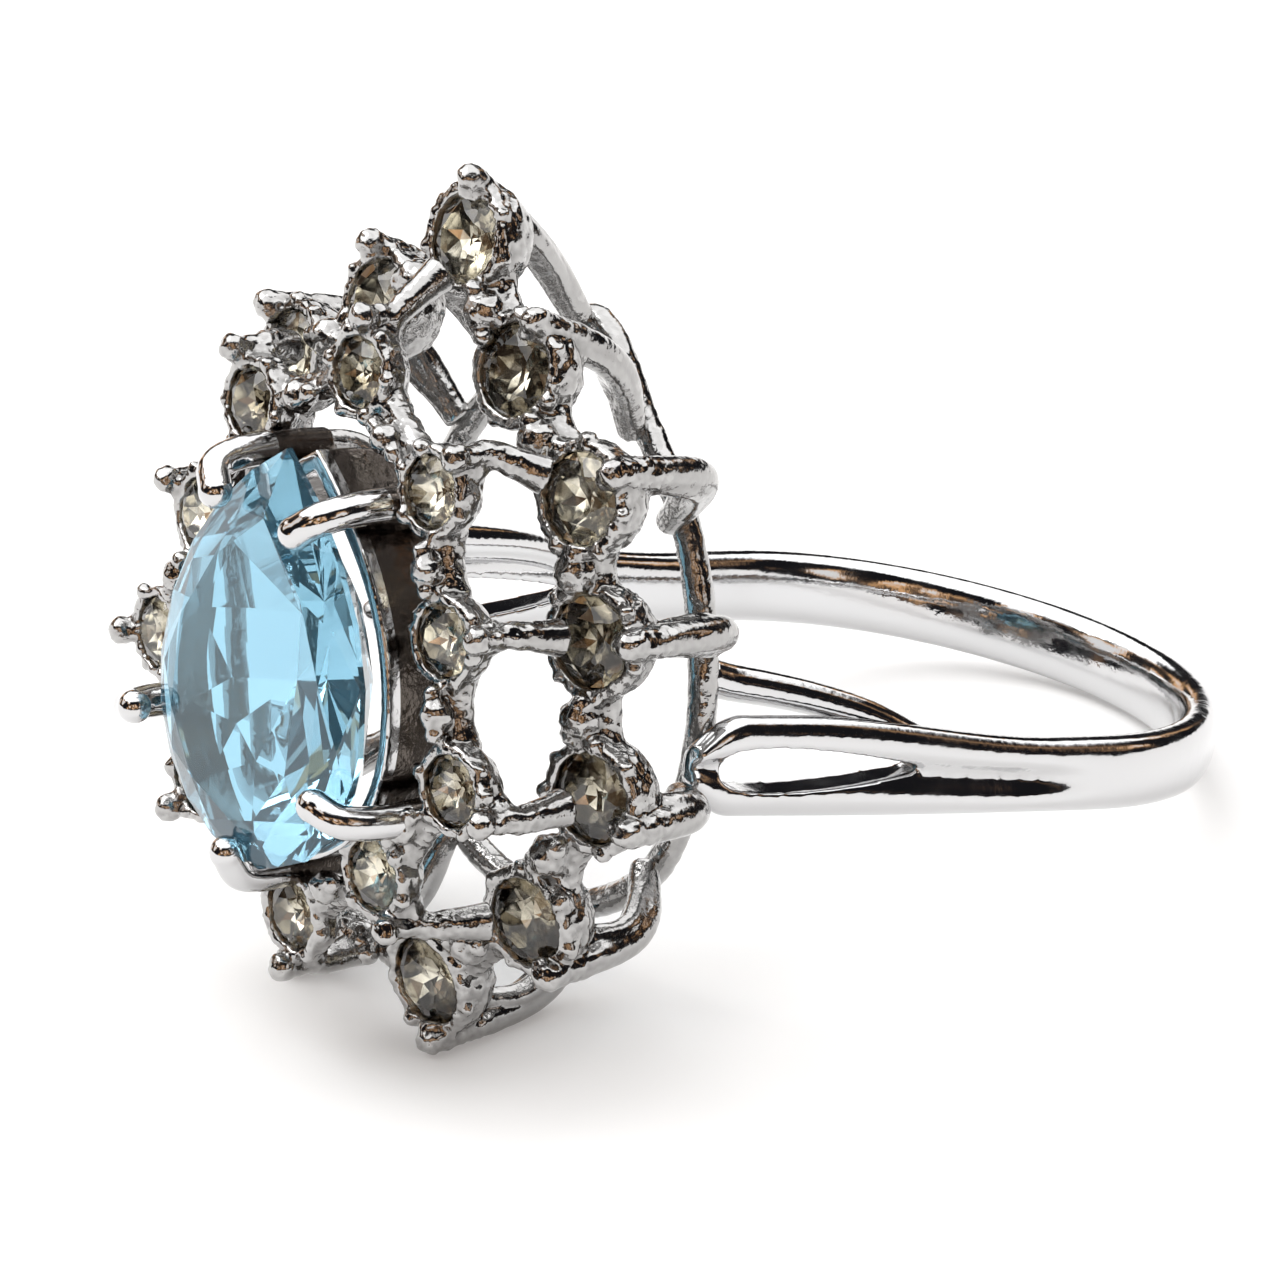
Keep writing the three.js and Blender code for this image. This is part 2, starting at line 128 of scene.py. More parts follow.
# Each prong from its root to its tip over the stone. The first two have mirror twins.
PRONG_PATHS = [
    [(2.75, -3.3, -1.2), (2.85, -3.2, 1.4), (2.65, -3.45, 3.0), (2.0, -4.05, 3.45)],
    [(5.3, -12.2, -1.2), (5.65, -12.2, 1.4), (5.4, -12.1, 3.1), (4.55, -11.8, 3.65)],
    [(0, -15.7, -1.4), (0, -15.9, 1.0), (0, -15.8, 2.4), (0, -15.0, 3.1)],
]
PRONG_RADIUS = 0.56
PRONG_TAPER = 0.04
PRONG_TIP_RADIUS = 0.54
PRONG_ROOT_RADIUS = 0.35
PRONG_ROOT_INWARD = 0.22

# The band. Its places are measured backwards from the head. The opening in each shoulder is
# (front, back, half height), and a fade is (where it starts, where it is full).
BAND_CENTRE_UP = -11.15
BAND_RADIUS = 9.3
BAND_HALF_HEIGHT = 1.2
BAND_HALF_THICK = 0.66
BAND_CORNERS = (0.75, 0.8)
HOOP_CENTRE_BACK = 24.3
HOOP_LEAD_IN = 6
ARM_FRONT_SIDE = 8.02
ARM_BEND = (8.27, 13.0)
SHOULDER_BACK = 8.0
SHOULDER_FADE = (22, 12)
SHOULDER_NOSE = (-0.5, 1.6)
SHOULDER_NOSE_THIN = 0.6
SHOULDER_RISE = 0.3
SHOULDER_EXTRA_HEIGHT = 0.4
GROOVE_DEPTH = 0.42
GROOVE_SPREAD = 0.34
GROOVE_FADE = (24.5, 20.0)
OPENING = (8.95, 16.8, 0.8)

# The pear stone. Its belts, under the girdle, are (inset, depth, first corner).
STONE_TIP_UP = -2.15
STONE_BELLY_UP = -10.3
STONE_HALF_WIDTH = 5.0
STONE_GIRDLE_FRONT = 2.3
STONE_GIRDLE_THICKNESS = 0.2
STONE_TABLE_FRONT = 3.1
STONE_TABLE_INSET = 1.35
STONE_STAR_INSET = 0.64
STONE_STAR_DROP = 0.26
STONE_BELTS = [(1.15, 1.15, 0), (2.7, 2.25, 2)]
STONE_CULET_FRONT = -1.4

# A round brilliant of radius 1: rings of (corners, radius, height, turn in steps), from the table
# down, and the depth of its point.
BRILLIANT_RINGS = [(8, 0.56, 0.30, 0), (8, 0.80, 0.185, 0.5), (16, 1, 0.03, 0),
                   (16, 1, -0.03, 0), (8, 0.66, -0.30, 0), (8, 0.30, -0.50, 0.5)]
BRILLIANT_DEPTH = 0.60
FOIL_FACES_BELOW = -0.2


def at(side, up, front):
    """A point or step in head coordinates, which have +Y to the back."""
    return Vector((side, -front, up))


def head_matrix():
    """From head coordinates in mm to the row frame in metres, found from the stone's CAD solid."""
    lean = Matrix.Rotation(-LEAN_BACK, 4, "X")
    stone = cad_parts["centre_stone"]
    upright = np.array([lean.inverted() @ v.co for v in stone.data.vertices]) / MM
    shift = Vector(((upright[:, 0].min() + upright[:, 0].max()) / 2,
                    upright[:, 1].min() + STONE_TABLE_FRONT,
                    upright[:, 2].max() - STONE_TIP_UP))
    return lean @ Matrix.Scale(MM, 4) @ Matrix.Translation(shift)


HEAD = head_matrix()


def mirrored(stations):
    """The stations and their mirror twins, in order round the head."""
    left = [(-s[0], *s[1:]) for s in stations if s[0] > 0]
    return list(stations) + left[::-1]


def outward(point):
    """Direction in the head's plane from the middle of the tiers to a point."""
    return Vector((point.x, 0, point.z - TIER_CENTRE_UP)).normalized()


def facing(centre, tilt):
    """Direction that a cup looks in: forwards, tilted outwards."""
    return (outward(centre) * math.sin(tilt) + at(0, 0, math.cos(tilt))).normalized()


# ---- meshes in head millimetres -------------------------------------------------------------

class Mesh:
    """Points and faces gathered from several closed pieces."""

    def __init__(self):
        self.points = []
        self.faces = []

    def add(self, points, faces):
        first = len(self.points)
        self.points.extend(Vector(p) for p in points)
        self.faces.extend([first + i for i in face] for face in faces)

    def extend(self, other):
        self.add(other.points, other.faces)


def loft(rings, closed=False):
    """Closed skin over rings of points: capped at the ends, or joined round when closed."""
    count = len(rings[0])
    points = [p for ring in rings for p in ring]
    faces = []
    pairs = len(rings) if closed else len(rings) - 1
    for k in range(pairs):
        here, there = k * count, ((k + 1) % len(rings)) * count
        for i in range(count):
            j = (i + 1) % count
            faces.append([here + i, here + j, there + j, there + i])
    if not closed:
        faces.append(list(range(count))[::-1])
        faces.append([(len(rings) - 1) * count + i for i in range(count)])
    return points, faces


def curve_points(knots, steps, closed=False):
    """Catmull-Rom points through the knots."""
    knots = [Vector(k) for k in knots]
    count = len(knots)
    spans = count if closed else count - 1
    result = []
    for s in range(spans):
        if closed:
            a, b, c, d = (knots[(s + k) % count] for k in (-1, 0, 1, 2))
        else:
            b, c = knots[s], knots[s + 1]
            a = knots[s - 1] if s else b + (b - c)
            d = knots[s + 2] if s + 2 < count else c + (c - b)
        for i in range(steps):
            t = i / steps
            result.append(0.5 * ((2 * b) + (c - a) * t + (2 * a - 5 * b + 4 * c - d) * t * t
                                 + (3 * b - a - 3 * c + d) * t ** 3))
    if not closed:
        result.append(knots[-1])
    return result


def tube(path, radius, sides=14, closed=False):
    """A round bar along a path; radius(t) gives its radius at 0..1."""
    count = len(path)
    normal = None
    rings = []
    for i, centre in enumerate(path):
        ahead = path[(i + 1) % count] if closed or i + 1 < count else centre
        behind = path[i - 1] if closed or i else centre
        along = (ahead - behind).normalized()
        if normal is None:
            normal = along.orthogonal().normalized()
            up = Vector((0, 0, 1)) - along * along.z
            if up.length > 0.2:
                normal = up.normalized()
        normal = (normal - along * normal.dot(along)).normalized()
        across = along.cross(normal)
        r = radius(i / (count - 1))
        rings.append([centre + normal * (r * math.cos(a)) + across * (r * math.sin(a))
                      for a in (2 * math.pi * k / sides for k in range(sides))])
    return loft(rings, closed)


def ball(centre, radius, sides=14):
    rings = []
    for k in range(1, sides // 2):
        polar = math.pi * k / (sides // 2)
        flat_radius = radius * math.sin(polar)
        height = radius * math.cos(polar)
        rings.append([Vector((flat_radius * math.cos(a), flat_radius * math.sin(a), height))
                      for a in (2 * math.pi * i / sides for i in range(sides))])
    points, faces = loft(rings)
    return [p + centre for p in points], faces


def turned(profile, centre, axis, sides=40):
    """A turned piece: profile pairs are (radius, distance along the axis), from axis to axis."""
    spin = Vector((0, 0, 1)).rotation_difference(axis)
    points = []
    faces = []
    rings = []
    for radius, height in profile:
        if radius < 1e-6:
            points.append(centre + spin @ Vector((0, 0, height)))
            rings.append([len(points) - 1])
            continue
        start = len(points)
        for i in range(sides):
            a = 2 * math.pi * i / sides
            points.append(centre + spin @ Vector((radius * math.cos(a), radius * math.sin(a), height)))
        rings.append(list(range(start, start + sides)))
    for low, high in zip(rings, rings[1:]):
        for i in range(sides):
            j = (i + 1) % sides
            if len(low) == 1:
                faces.append([low[0], high[j], high[i]])
            elif len(high) == 1:
                faces.append([low[i], low[j], high[0]])
            else:
                faces.append([low[i], low[j], high[j], high[i]])
    return points, faces


def new_object(name, points, faces, smooth):
    mesh = bpy.data.meshes.new(name)
    mesh.from_pydata([tuple(p) for p in points], [], [list(f) for f in faces])
    mesh.validate()
    mesh.polygons.foreach_set("use_smooth", [smooth] * len(mesh.polygons))
    obj = bpy.data.objects.new(name, mesh)
    bpy.context.scene.collection.objects.link(obj)
    return obj


def settle(obj, node, slot, *materials):
    """Moves a finished piece from head millimetres to the row frame, gives it its materials, hangs it
    on the root body and hides its CAD node.
    """
    obj.data.transform(HEAD)
    obj.data.update()
    for material in materials:
        obj.data.materials.append(material)
    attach(obj, "root")
    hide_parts(node)
    return obj


def cast(name, mesh, voxel, rounds, roughen):
    """Fuses overlapping pieces into one skin with filleted joints, then roughens it like a casting.

    roughen(point) gives the height of the casting grain at a point, in mm."""
    obj = new_object(name, mesh.points, mesh.faces, True)
    remesh = obj.modifiers.new("fuse", "REMESH")
    remesh.mode = "VOXEL"
    remesh.voxel_size = voxel
    smooth = obj.modifiers.new("fillet", "SMOOTH")
    smooth.factor = 0.5
    smooth.iterations = rounds
    evaluated = obj.evaluated_get(bpy.context.evaluated_depsgraph_get())
    fused = bpy.data.meshes.new_from_object(evaluated)
    obj.modifiers.clear()
    obj.data = fused
    normals = [n.vector.copy() for n in fused.vertex_normals]
    moved = np.empty(len(normals) * 3, np.float32)
    fused.vertices.foreach_get("co", moved)
    moved = moved.reshape(-1, 3)
    for i, normal in enumerate(normals):
        p = Vector(moved[i])
        height = roughen(p)
        if height > 0:
            grain = noise.noise(p * 2.6) + 0.6 * noise.noise(p * 5.5)
            moved[i] = p + normal * (height * grain)
    fused.vertices.foreach_set("co", moved.ravel())
    fused.update()
    fused.polygons.foreach_set("use_smooth", [True] * len(fused.polygons))
    return obj


# ---- materials ------------------------------------------------------------------------------

def node_material(name):
    material = bpy.data.materials.new(name)
    material.use_nodes = True
    return material, material.node_tree.nodes, material.node_tree.links


def plated_metal(name, grain, roughness, crevice_shade_end, tone):
    """Bright plating with a fine casting grain, and painted brown-black shade in the crevices."""
    material, nodes, links = node_material(name)
    surface = nodes["Principled BSDF"]
    surface.inputs["Metallic"].default_value = 1.0
    coords = nodes.new("ShaderNodeTexCoord")
    mottle = nodes.new("ShaderNodeTexNoise")
    mottle.inputs["Scale"].default_value = 900
    mottle.inputs["Detail"].default_value = 4
    links.new(coords.outputs["Object"], mottle.inputs["Vector"])
    # Low pointiness takes the colour down to brown-black: painted shade in the crevices.
    crevice = nodes.new("ShaderNodeNewGeometry")
    ramp = nodes.new("ShaderNodeValToRGB")
    ramp.color_ramp.elements[0].position = 0.40
    ramp.color_ramp.elements[0].color = (0.035, 0.030, 0.026, 1)
    ramp.color_ramp.elements[1].position = crevice_shade_end
    ramp.color_ramp.elements[1].color = (*tone, 1)
    links.new(crevice.outputs["Pointiness"], ramp.inputs["Fac"])
    links.new(ramp.outputs["Color"], surface.inputs["Base Color"])
    rough = nodes.new("ShaderNodeMapRange")
    rough.inputs["From Min"].default_value = 0.35
    rough.inputs["From Max"].default_value = 0.7
    rough.inputs["To Min"].default_value = roughness
    rough.inputs["To Max"].default_value = roughness + 0.1
    links.new(mottle.outputs["Fac"], rough.inputs["Value"])
    links.new(rough.outputs["Result"], surface.inputs["Roughness"])
    pits = nodes.new("ShaderNodeTexNoise")
    pits.inputs["Scale"].default_value = 2600
    pits.inputs["Detail"].default_value = 3
    links.new(coords.outputs["Object"], pits.inputs["Vector"])
    bump = nodes.new("ShaderNodeBump")
    bump.inputs["Strength"].default_value = grain
    bump.inputs["Distance"].default_value = 0.00008
    links.new(pits.outputs["Fac"], bump.inputs["Height"])
    links.new(bump.outputs["Normal"], surface.inputs["Normal"])
    return material


def clear_glass(name, colour, ior, clarity):
    material, nodes, _ = node_material(name)
    surface = nodes["Principled BSDF"]
    surface.inputs["Base Color"].default_value = (*colour, 1)
    surface.inputs["Roughness"].default_value = 0.0
    surface.inputs["IOR"].default_value = ior
    surface.inputs["Transmission Weight"].default_value = clarity
    return material


def foil(name):
    """The foiled back of a crystal: a warm mirror, mottled where the foil has aged."""
    material, nodes, links = node_material(name)
    surface = nodes["Principled BSDF"]
    surface.inputs["Metallic"].default_value = 1.0
    surface.inputs["Roughness"].default_value = 0.12
    coords = nodes.new("ShaderNodeTexCoord")
    spots = nodes.new("ShaderNodeTexNoise")
    spots.inputs["Scale"].default_value = 700
    spots.inputs["Detail"].default_value = 3
    links.new(coords.outputs["Object"], spots.inputs["Vector"])
    ramp = nodes.new("ShaderNodeValToRGB")
    ramp.color_ramp.elements[0].position = 0.38
    ramp.color_ramp.elements[0].color = (0.20, 0.175, 0.13, 1)
    ramp.color_ramp.elements[1].position = 0.62
    ramp.color_ramp.elements[1].color = (0.90, 0.87, 0.78, 1)
    links.new(spots.outputs["Fac"], ramp.inputs["Fac"])
    links.new(ramp.outputs["Color"], surface.inputs["Base Color"])
    return material


CAST_METAL = plated_metal("cast_plating", grain=0.5, roughness=0.09, crevice_shade_end=0.53,
                          tone=(0.44, 0.435, 0.43))
BRIGHT_METAL = plated_metal("bright_plating", grain=0.12, roughness=0.05, crevice_shade_end=0.49,
                            tone=(0.60, 0.60, 0.605))
# A dark, rougher copy of the plating for the back of the seat: painted shade.
PAINTED_SHADE_METAL = plated_metal("shadowed_plating", grain=0.6, roughness=0.16, crevice_shade_end=0.54,
                          tone=(0.15, 0.13, 0.115))
STONE_GLASS = clear_glass("aqua_glass", (0.32, 0.63, 0.81), ior=1.57, clarity=0.92)
CRYSTAL_GLASS = clear_glass("champagne_crystal", (0.94, 0.925, 0.86), ior=1.64, clarity=1.0)
CRYSTAL_FOIL = foil("crystal_foil")


# ---- stones ---------------------------------------------------------------------------------

def hull_object(name, points, backs):
    """Faceted solid through the points; faces whose normal's Z is below 'backs' get slot 1."""
    shape = bmesh.new()
    for p in points:
        shape.verts.new(p)
    bmesh.ops.convex_hull(shape, input=shape.verts[:])
    loose = [v for v in shape.verts if not v.link_faces]
    bmesh.ops.delete(shape, geom=loose, context="VERTS")
    bmesh.ops.dissolve_limit(shape, angle_limit=math.radians(1.0), verts=shape.verts[:],
                             edges=shape.edges[:])
    shape.normal_update()
    for face in shape.faces:
        face.smooth = False
        face.material_index = 1 if backs is not None and face.normal.z < backs else 0
    mesh = bpy.data.meshes.new(name)
    shape.to_mesh(mesh)
    shape.free()
    obj = bpy.data.objects.new(name, mesh)
    bpy.context.scene.collection.objects.link(obj)
    return obj


def ring_points(count, radius, height, turn):
    return [Vector((radius * math.cos(a), radius * math.sin(a), height))
            for a in (2 * math.pi * (i + turn) / count for i in range(count))]


def crystal(name, radius, station, tilt):
    """A round brilliant: table, star, kite and girdle facets over a foiled pavilion."""
    points = []
    for count, part, height, turn in BRILLIANT_RINGS:
        points += ring_points(count, part * radius, height * radius, turn)
    points.append(Vector((0, 0, -BRILLIANT_DEPTH * radius)))
    obj = hull_object(name, points, FOIL_FACES_BELOW)
    centre = at(*station)
    spin = Quaternion((0, 0, 1), random.uniform(0, math.tau))
    wobble = Quaternion((random.uniform(-1, 1), random.uniform(-1, 1), 0), math.radians(2))
    turn = Vector((0, 0, 1)).rotation_difference(facing(centre, tilt))
    obj.data.transform(Matrix.Translation(centre) @ (turn @ wobble @ spin).to_matrix().to_4x4())
    return obj


def pear_outline(inset, steps):
    """Points of the pear outline as (sideways, up), clockwise from the tip, moved in by inset."""
    belly = STONE_HALF_WIDTH - inset
    tip = STONE_TIP_UP - 1.6 * inset
    knots = [Vector((0, tip)), Vector((0.55 * belly, tip - 1.8)),
             Vector((belly, STONE_BELLY_UP + 3.6)), Vector((belly, STONE_BELLY_UP))]
    half = []
    for i in range(steps):
        t = i / steps
        half.append(knots[0] * (1 - t) ** 3 + knots[1] * (3 * t * (1 - t) ** 2)
                    + knots[2] * (3 * t * t * (1 - t)) + knots[3] * t ** 3)
    for i in range(steps):
        a = 0.5 * math.pi * i / steps
        half.append(Vector((belly * math.cos(a), STONE_BELLY_UP - belly * math.sin(a))))
    bottom = Vector((0, STONE_BELLY_UP - belly))
    other = [Vector((-p.x, p.y)) for p in half[1:]]
    return half + [bottom] + other[::-1]


def pear_stone():
    """A pear brilliant, built upright in (sideways, up, forward) and then laid on the head."""
    fine = 10
    girdle = pear_outline(0.0, fine)
    table = pear_outline(STONE_TABLE_INSET, fine)[::4]
    star = pear_outline(STONE_STAR_INSET, fine)[2::4]
    girdle_top = STONE_GIRDLE_FRONT + STONE_GIRDLE_THICKNESS
    points = [Vector((p.x, p.y, STONE_GIRDLE_FRONT)) for p in girdle[::2]]
    points += [Vector((p.x, p.y, girdle_top)) for p in girdle[::2]]
    points += [Vector((p.x, p.y, STONE_TABLE_FRONT)) for p in table]
    points += [Vector((p.x, p.y, STONE_TABLE_FRONT - STONE_STAR_DROP)) for p in star]
    for inset, drop, first in STONE_BELTS:
        belt = pear_outline(inset, fine)[first::4]
        points += [Vector((p.x, p.y, STONE_GIRDLE_FRONT - drop)) for p in belt]
    keel = STONE_BELLY_UP + 0.6
    points += [Vector((0, keel, STONE_CULET_FRONT)),
               Vector((0, keel + 2.2, STONE_CULET_FRONT + 0.35))]
    obj = hull_object("pear_stone", points, None)
    obj.data.transform(Matrix(((1, 0, 0, 0), (0, 0, -1, 0), (0, 1, 0, 0), (0, 0, 0, 1))))
    return obj


# ---- metalwork ------------------------------------------------------------------------------

def cup(centre, axis, radius, wall, depth):
    """A round cup with a lipped rim, a rounded back and a flat floor under its crystal."""
    bore = radius + CUP_CLEARANCE
    rim = bore + wall
    floor = -0.62 * radius - 0.1
    profile = [(0, -depth), (0.45 * rim, -depth), (0.8 * rim, -0.75 * depth), (rim, -0.4 * depth),
               (rim * 1.02, 0.08), (rim * 0.98, 0.2), (bore * 0.985, 0.22), (bore, -0.05),
               (bore, floor), (0, floor)]
    return turned(profile, centre, axis)


def rim_beads(centre, axis, rim, count, size):
    """Small uneven beads cast round the edge of a cup."""
    spin = Vector((0, 0, 1)).rotation_difference(axis)
    pieces = []
    for k in range(count):
        a = math.tau * (k + random.uniform(-0.25, 0.25)) / count
        place = Vector((rim * math.cos(a), rim * math.sin(a), random.uniform(-0.05, 0.12)))
        pieces.append(ball(centre + spin @ place, size * random.uniform(0.75, 1.15), 10))
    return pieces


def rib_foot(order, mirror):
    """Where the rib of one outer cup ends: on the rail, or on the shoulder for the widest pair."""
    if order == SHOULDER_RIB_ORDER:
        side, up, front = SHOULDER_RIB_FOOT
        return at(mirror * side, up, front)
    side, up = RAIL_STATIONS[order]
    return at(mirror * side, up, RIB_FOOT_FRONT)


def rib(centre, axis, order, mirror):
    """A claw: a thick ridge from its bead back to the rail, with thin ridges under it to the cup."""
    out = outward(centre)
    start = centre + out * RIB_TIP_OUT + at(0, 0, RIB_TIP_FRONT)
    foot = rib_foot(order, mirror)
    inward, front = RIB_ELBOWS[order]
    elbow = start.lerp(foot, inward)
    elbow.y = -front
    heel = centre - axis * RIB_HEEL_BACK + out * RIB_HEEL_OUT
    side = (foot - start).cross(out).normalized()
    neck = curve_points([centre + out * RIB_NECK_OUT, start], 4)
    crest = curve_points([start, elbow, foot], 16)
    pieces = [ball(start, RIB_RADIUS, 18),
              tube(neck, lambda t: RIB_NECK_RADIUS),
              tube(crest, lambda t: RIB_RADIUS + RIB_SWELL * t * (1 - t))]
    for depth, lean in RIB_RIDGES:
        low_start = start.lerp(heel, depth)
        low_elbow = elbow.lerp(heel, RIDGE_ELBOW * depth)
        path = curve_points([low_start, low_elbow + side * lean, foot], 12)
        pieces.append(tube(path, lambda t: RIDGE_RADIUS - RIDGE_TAPER * t))
    return pieces


def waisted(end, middle, t):
    """Radius of a bar that flares into the pieces at both its ends."""
    return middle + (end - middle) * (2 * t - 1) ** 2


def add_cup(mesh, tier, centres, i):
    """One cup with its rim beads, and the beaded link from it to the next cup."""
    centre = centres[i]
    axis = facing(centre, tier.tilt)
    mesh.add(*cup(centre, axis, tier.radius, tier.wall, tier.depth))
    for piece in rim_beads(centre, axis, tier.radius + tier.bead_ring, tier.beads, tier.bead_size):
        mesh.add(*piece)
    following = centres[(i + 1) % len(centres)]
    span = following - centre
    reach = (tier.radius + tier.link_gap) / span.length
    backset = axis * -tier.link_back
    ends = [centre + span * reach + backset, centre + span * (1 - reach) + backset]
    mesh.add(*tube(curve_points(ends, 8), lambda t: waisted(tier.link_end, tier.link_middle, t)))
    middle = centre.lerp(following, 0.5)
    middle = middle - outward(middle) * KNOT_INWARD + at(0, 0, KNOT_FRONT)
    mesh.add(*ball(middle, tier.knot))
    for k in (-1, 1):
        grain = middle + span.normalized() * (tier.grain_along * k) + at(0, 0, tier.grain_front)
        grain = grain - outward(middle) * (tier.grain_inward * k)
        mesh.add(*ball(grain, tier.grain))


def outer_tier():
    mesh = Mesh()
    centres = [at(*s) for s in mirrored(OUTER_STATIONS)]
    for i, centre in enumerate(centres):
        add_cup(mesh, OUTER_TIER, centres, i)
        order = min(i, len(centres) - i)
        for piece in rib(centre, facing(centre, OUTER_TILT), order, -1 if centre.x < 0 else 1):
            mesh.add(*piece)
    return mesh


def arm_end(centre):
    """Where an inner cup's arm ends: at an outer cup, or at the bead that links the lowest two."""
    on_centre_line = abs(centre.x) < 0.01
    if on_centre_line and centre.z < TIER_CENTRE_UP:
        _, up, front = OUTER_STATIONS[-1]
        return at(0, up, front + ARM_BEFORE_BEAD)
    choices = OUTER_STATIONS[:1] if on_centre_line else mirrored(OUTER_STATIONS)
    nearest = min((at(*s) for s in choices), key=lambda p: (p - centre).length)
    knee = centre + outward(centre) * SPUR_OUT + at(0, 0, SPUR_FRONT - ARM_KNEE_BACK)
    short = (nearest - knee).normalized() * ARM_STOPS_SHORT
    return nearest + at(0, 0, -ARM_BEHIND_CUP) - short


def inner_tier():
    mesh = Mesh()
    centres = [at(*s) for s in mirrored(INNER_STATIONS)]
    for i, centre in enumerate(centres):
        add_cup(mesh, INNER_TIER, centres, i)
        out = outward(centre)
        tip = centre + out * SPUR_OUT + at(0, 0, SPUR_FRONT)
        neck = centre + out * ARM_ROOT_OUT + at(0, 0, -SPUR_NECK_BACK)
        root = centre + out * ARM_ROOT_OUT + at(0, 0, -ARM_ROOT_BACK)
        knee = tip + at(0, 0, -ARM_KNEE_BACK)
        arm = curve_points([root, knee, arm_end(centre)], 8)
        mesh.add(*ball(tip, SPUR_RADIUS))
        mesh.add(*tube(curve_points([neck, tip], 4), lambda t: SPUR_NECK_RADIUS))
        mesh.add(*tube(arm, lambda t: waisted(ARM_END_RADIUS, ARM_MIDDLE_RADIUS, t)))
        mesh.add(*tube(curve_points([tip, knee], 4), lambda t: ARM_KNEE_RADIUS))
    return mesh


def seat_and_prongs():
    mesh = Mesh()
    rings = []
    for inset, front in SEAT_WALL:
        rings.append([at(p.x, p.y, front) for p in pear_outline(inset, 16)])
    mesh.add(*loft(rings, closed=True))
    paths = PRONG_PATHS + [[(-s, u, f) for s, u, f in path] for path in PRONG_PATHS[:2]]
    for path in paths:
        knots = [at(*p) for p in path]
        foot = knots[0]
        inner = foot.lerp(Vector((0, foot.y, STONE_BELLY_UP + 1)), PRONG_ROOT_INWARD)
        mesh.add(*tube(curve_points([inner, foot], 4), lambda t: PRONG_ROOT_RADIUS))
        mesh.add(*tube(curve_points(knots, 12), lambda t: PRONG_RADIUS - PRONG_TAPER * t))
        mesh.add(*ball(knots[-1], PRONG_TIP_RADIUS, 18))
    return mesh


def base_rail():
    mesh = Mesh()
    knots = [at(side, up, RAIL_FRONT) for side, up in mirrored(RAIL_STATIONS)]
    path = curve_points(knots, 14, closed=True)
    mesh.add(*tube(path, lambda t: RAIL_RADIUS, closed=True))
    return mesh


def strut(mirror):
    mesh = Mesh()
    knots = [at(mirror * side, up, front) for side, up, front in STRUT_STATIONS]
    mesh.add(*tube(curve_points(knots, 12), lambda t: STRUT_RADIUS - STRUT_TAPER * t))
    return mesh


def bezier(a, b, c, d, steps):
    return [a * (1 - t) ** 3 + b * (3 * t * (1 - t) ** 2) + c * (3 * t * t * (1 - t)) + d * t ** 3
            for t in (i / steps for i in range(steps))]


def band_path():
    """Centre line of the band as (sideways, backwards), from one shoulder round to the other."""
    arm = bezier(Vector((ARM_FRONT_SIDE, SHOULDER_BACK)), Vector(ARM_BEND),
                 Vector((BAND_RADIUS, HOOP_CENTRE_BACK - HOOP_LEAD_IN)),
                 Vector((BAND_RADIUS, HOOP_CENTRE_BACK)), 60)
    hoop = [Vector((BAND_RADIUS * math.cos(a), HOOP_CENTRE_BACK + BAND_RADIUS * math.sin(a)))
            for a in (math.pi * i / 90 for i in range(91))]
    return arm + hoop + [Vector((-p.x, p.y)) for p in reversed(arm)]


def smoothstep(low, high, value):
    t = min(1.0, max(0.0, (value - low) / (high - low)))
    return t * t * (3 - 2 * t)


def band_section(p, along, sides):
    """One section of the band: taller at the shoulder, rounded off at its front, grooved outside."""
    out = Vector((along.y, -along.x))
    forward = smoothstep(-SHOULDER_FADE[0], -SHOULDER_FADE[1], -p.y)
    nose_start, nose_end = (SHOULDER_BACK + step for step in SHOULDER_NOSE)
    nose = math.sqrt(smoothstep(nose_start, nose_end, p.y))
    half_height = (BAND_HALF_HEIGHT + SHOULDER_EXTRA_HEIGHT * forward) * nose
    half_thick = BAND_HALF_THICK * (SHOULDER_NOSE_THIN + (1 - SHOULDER_NOSE_THIN) * nose)
    groove = GROOVE_DEPTH * smoothstep(-GROOVE_FADE[0], -GROOVE_FADE[1], -p.y)
    section = []
    for k in range(sides):
        a = 2 * math.pi * k / sides
        c, s = math.cos(a), math.sin(a)
        across = half_thick * math.copysign(abs(c) ** BAND_CORNERS[0], c)
        rise = half_height * math.copysign(abs(s) ** BAND_CORNERS[1], s)
        if c > 0:
            across -= groove * math.exp(-(rise / (GROOVE_SPREAD * half_height)) ** 2)
        flat = p + out * across
        section.append(Vector((flat.x, flat.y, BAND_CENTRE_UP + SHOULDER_RISE * forward + rise)))
    return section


def shank():
    """The band: a swept section whose outer face splits into two ridges with a groove between."""
    path = band_path()
    rings = []
    for i, p in enumerate(path):
        ahead = path[min(i + 1, len(path) - 1)]
        behind = path[max(i - 1, 0)]
        along = (ahead - behind).normalized()
        rings.append(band_section(p, along, 48))
    mesh = Mesh()
    mesh.add(*loft(rings))
    return mesh


def droop(points):
    """The hoop hangs a little lower at the back than at the shoulders."""
    pivot = Vector((0, SHOULDER_BACK, BAND_CENTRE_UP))
    turn = Matrix.Rotation(-HOOP_DROOP, 3, "X")
    return [turn @ (p - pivot) + pivot for p in points]


def teardrop_cutter():
    """A long drop drawn through both shoulders, rounded in front and pointed behind."""
    front, back, half = OPENING
    middle = BAND_CENTRE_UP + SHOULDER_RISE
    outline = []
    for i in range(40):
        a = 2 * math.pi * i / 40
        t = 0.5 - 0.5 * math.cos(a)
        sine = math.sin(a) if i % 20 else 0.0
        width = half * 1.15 * math.sqrt(abs(sine)) * (1 - t) ** 0.6
        outline.append((front + (back - front) * t, middle + math.copysign(width, sine)))
    rings = [[Vector((side, y, z)) for y, z in outline] for side in (-12, 12)]
    return loft(rings)


